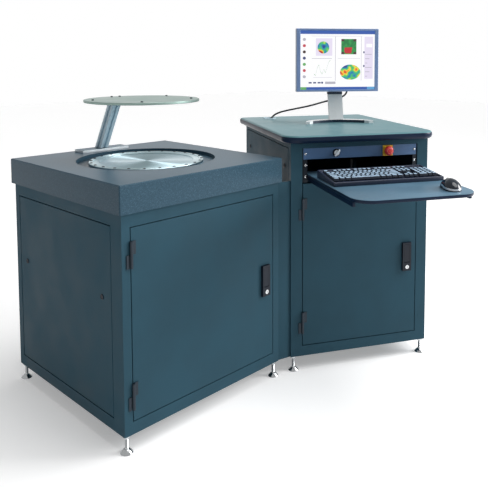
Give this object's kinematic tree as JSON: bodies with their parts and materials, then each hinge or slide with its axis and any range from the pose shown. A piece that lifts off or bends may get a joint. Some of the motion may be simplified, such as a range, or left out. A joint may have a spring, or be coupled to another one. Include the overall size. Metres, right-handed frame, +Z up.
{
  "type": "flatness interferometer",
  "caption": "Flatness interferometer: granite measuring station with shielded aperture, bridged to an angled console with screen and keyboard drawer.",
  "frame": {"origin": "middle of the whole object's outline, on the floor under the levelling feet", "axes": "+X to the right along the station's front, +Y to its back, +Z up; the console is turned clockwise from them"},
  "size_m": [1.6564, 1.3934, 1.3565],
  "materials": {
    "cabinet_paint": "semi-gloss powder coat, dark blue grey",
    "inner_steel": "zinc plated sheet and machined fittings",
    "granite": "honed fine-grained granite",
    "turned_metal": "turned and clear anodised",
    "reference_face": "lapped and coated reference flat",
    "disc_metal": "satin anodised",
    "arm_metal": "slate anodised extrusion",
    "bright_metal": "polished",
    "lens_glass": "clear lens glass",
    "black_fitting": "black moulded",
    "worktop_laminate": "satin laminate with moulded edge",
    "panel_paint": "satin slate blue",
    "tray_paint": "satin slate",
    "estop_red": "glossy red",
    "estop_yellow": "yellow moulded",
    "keyboard_shell": "fine-textured dark plastic",
    "key_plastic": "light grey caps",
    "mouse_plastic": "black gloss with silver trim",
    "monitor_plastic": "silver painted plastic",
    "screen_glass": "anti-glare screen",
    "cord_rubber": "black cable jacket",
    "rubber_pad": "black"
  },
  "bodies": {
    "root": {"station_frame": "cabinet_paint", "console_frame": "cabinet_paint", "station_floor_pan": "cabinet_paint", "station_left_panel": "cabinet_paint", "station_right_panel": "cabinet_paint", "station_back_panel": "cabinet_paint", "console_floor_pan": "cabinet_paint", "console_left_panel": "cabinet_paint", "console_right_panel": "cabinet_paint", "console_back_panel": "cabinet_paint", "hinge_pins": "inner_steel", "door_keepers": "inner_steel", "levelling_feet": "bright_metal", "panel_locks": "black_fitting", "granite_pads": "rubber_pad", "granite_plate": "granite", "aperture_ring": "turned_metal", "reference_plate": "reference_face", "clamp_ring": "turned_metal", "arm_base": "disc_metal", "arm_post": "arm_metal", "shield_disc": "disc_metal", "disc_screws": "bright_metal", "optics_barrel": "inner_steel", "collimator_lens": "lens_glass", "optics_base": "inner_steel", "laser_module": "black_fitting", "camera_module": "black_fitting", "bridge_panel": "cabinet_paint", "worktop": "worktop_laminate", "cable_grommet": "black_fitting", "rack_rails": "cabinet_paint", "control_panel": "panel_paint", "rack_screws": "bright_metal", "estop_collar": "estop_yellow", "selector_bezel": "black_fitting", "computer": "cabinet_paint", "slide_rails": "inner_steel", "monitor_stand": "monitor_plastic", "monitor_cord": "cord_rubber"},
    "station_door_body": {"station_door": "cabinet_paint", "station_hinge_barrels": "inner_steel", "station_latch_body": "black_fitting"},
    "station_lever": {"station_latch_lever": "black_fitting"},
    "station_lock": {"station_lock_cylinder": "bright_metal"},
    "console_door_body": {"console_door": "cabinet_paint", "console_hinge_barrels": "inner_steel", "console_latch_body": "black_fitting"},
    "console_lever": {"console_latch_lever": "black_fitting"},
    "console_lock": {"console_lock_cylinder": "bright_metal"},
    "drawer": {"keyboard_tray": "tray_paint", "keyboard_case": "keyboard_shell", "mouse_shell": "mouse_plastic"},
    "keys": {"keyboard_keys": "key_plastic"},
    "wheel": {"mouse_wheel": "rubber_pad"},
    "estop": {"estop_button": "estop_red"},
    "selector": {"selector_lever": "bright_metal"},
    "screen": {"monitor_case": "monitor_plastic", "monitor_bezel": "monitor_plastic", "monitor_screen": "screen_glass"}
  },
  "joints": [
    {"name": "station_door_hinge", "type": "hinge", "parent": "root", "child": "station_door_body", "pos_m": [-0.78569, -0.03257, 0.101], "axis": [0, 0, -1], "range_deg": [0, 110]},
    {"name": "station_lever_lift", "type": "hinge", "parent": "station_door_body", "child": "station_lever", "pos_m": [-0.20419, -0.03447, 0.377], "axis": [1, 0, 0], "range_deg": [0, 60]},
    {"name": "station_lock_turn", "type": "hinge", "parent": "station_door_body", "child": "station_lock", "pos_m": [-0.20419, -0.02727, 0.355], "axis": [0, -1, 0], "range_deg": [0, 90]},
    {"name": "console_door_hinge", "type": "hinge", "parent": "root", "child": "console_door_body", "pos_m": [-0.03885, -0.07281, 0.101], "axis": [0, 0, -1], "range_deg": [0, 110]},
    {"name": "console_lever_lift", "type": "hinge", "parent": "console_door_body", "child": "console_lever", "pos_m": [0.34483, -0.29922, 0.398], "axis": [0.8634, -0.5045, 0], "range_deg": [0, 60]},
    {"name": "console_lock_turn", "type": "hinge", "parent": "console_door_body", "child": "console_lock", "pos_m": [0.34847, -0.293, 0.376], "axis": [-0.5045, -0.8634, 0], "range_deg": [0, 90]},
    {"name": "drawer_slide", "type": "slide", "parent": "root", "child": "drawer", "axis": [0.5045, 0.8634, 0], "range_m": [0, 0.474]},
    {"name": "key_press", "type": "slide", "parent": "drawer", "child": "keys", "axis": [0.0424, 0.0725, -0.9965], "range_m": [0, 0.003], "stiffness_N_per_m": 2000, "springref_m": -0.003},
    {"name": "wheel_roll", "type": "hinge", "parent": "drawer", "child": "wheel", "pos_m": [0.13174, -0.59102, 0.801], "axis": [0.7396, -0.673, 0], "continuous": true},
    {"name": "estop_press", "type": "slide", "parent": "root", "child": "estop", "axis": [0.5045, 0.8634, 0], "range_m": [0, 0.005], "stiffness_N_per_m": 1200, "springref_m": -0.003},
    {"name": "selector_turn", "type": "hinge", "parent": "root", "child": "selector", "pos_m": [0.0834, -0.13811, 0.85772], "axis": [0.5045, 0.8634, 0], "range_deg": [-80, 0]},
    {"name": "screen_tilt", "type": "hinge", "parent": "root", "child": "screen", "pos_m": [0.45709, 0.17255, 1.215], "axis": [-0.7955, 0.606, 0], "range_deg": [-5, 20], "deforming": ["monitor_cord"]}
  ]
}
